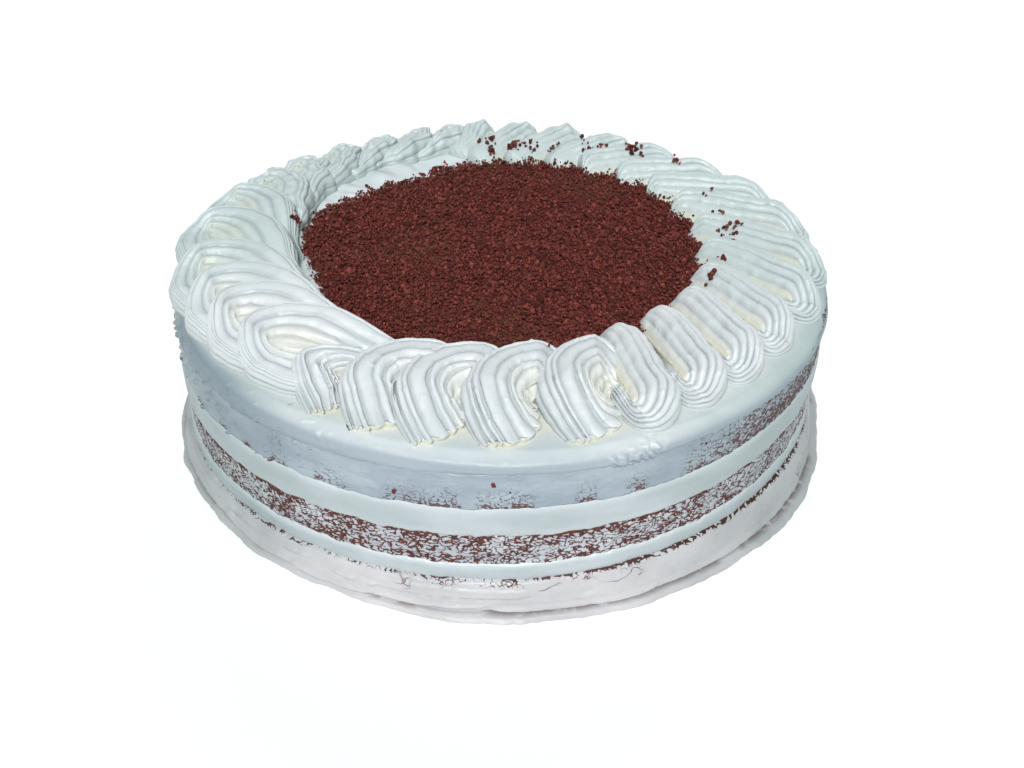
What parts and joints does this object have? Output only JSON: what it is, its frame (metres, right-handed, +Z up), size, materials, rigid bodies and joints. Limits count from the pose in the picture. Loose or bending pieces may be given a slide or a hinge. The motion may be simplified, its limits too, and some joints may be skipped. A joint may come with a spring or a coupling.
{
  "type": "red velvet cake",
  "caption": "Round layered red velvet cake, thinly coated in cream, with a ring of piped cream swirls round a bed of red-brown cake crumbs on top.",
  "frame": {"origin": "middle of the cake's underside", "axes": "+Z up, -Y to the front of the cake, +X to its right seen from the front"},
  "size_m": [0.2571, 0.2558, 0.0753],
  "materials": {
    "sponge": "dark red-brown sponge, open crumb, matt",
    "cream": "smoothed whipped cream, cool white, satin",
    "coat": "thin scraped cream, slightly pink, satin",
    "piped": "piped whipped cream, cool white, satin with soft grooves",
    "crumb": "loose cake crumbs, matt, granular"
  },
  "bodies": {
    "root": {"sponge_bottom": "sponge", "filling_lower": "cream", "sponge_middle": "sponge", "filling_upper": "cream", "sponge_top": "sponge", "icing_cap": "cream", "base_coat": "coat", "crumb_bed": "crumb", "swirl_01": "piped", "swirl_02": "piped", "swirl_03": "piped", "swirl_04": "piped", "swirl_05": "piped", "swirl_06": "piped", "swirl_07": "piped", "swirl_08": "piped", "swirl_09": "piped", "swirl_10": "piped", "swirl_11": "piped", "swirl_12": "piped", "swirl_13": "piped", "swirl_14": "piped", "swirl_15": "piped", "swirl_16": "piped", "swirl_17": "piped", "swirl_18": "piped", "swirl_19": "piped", "swirl_20": "piped", "swirl_21": "piped", "swirl_22": "piped", "swirl_23": "piped", "swirl_24": "piped", "swirl_25": "piped", "swirl_26": "piped", "swirl_27": "piped", "swirl_28": "piped", "swirl_29": "piped", "swirl_30": "piped", "swirl_31": "piped"}
  },
  "joints": []
}
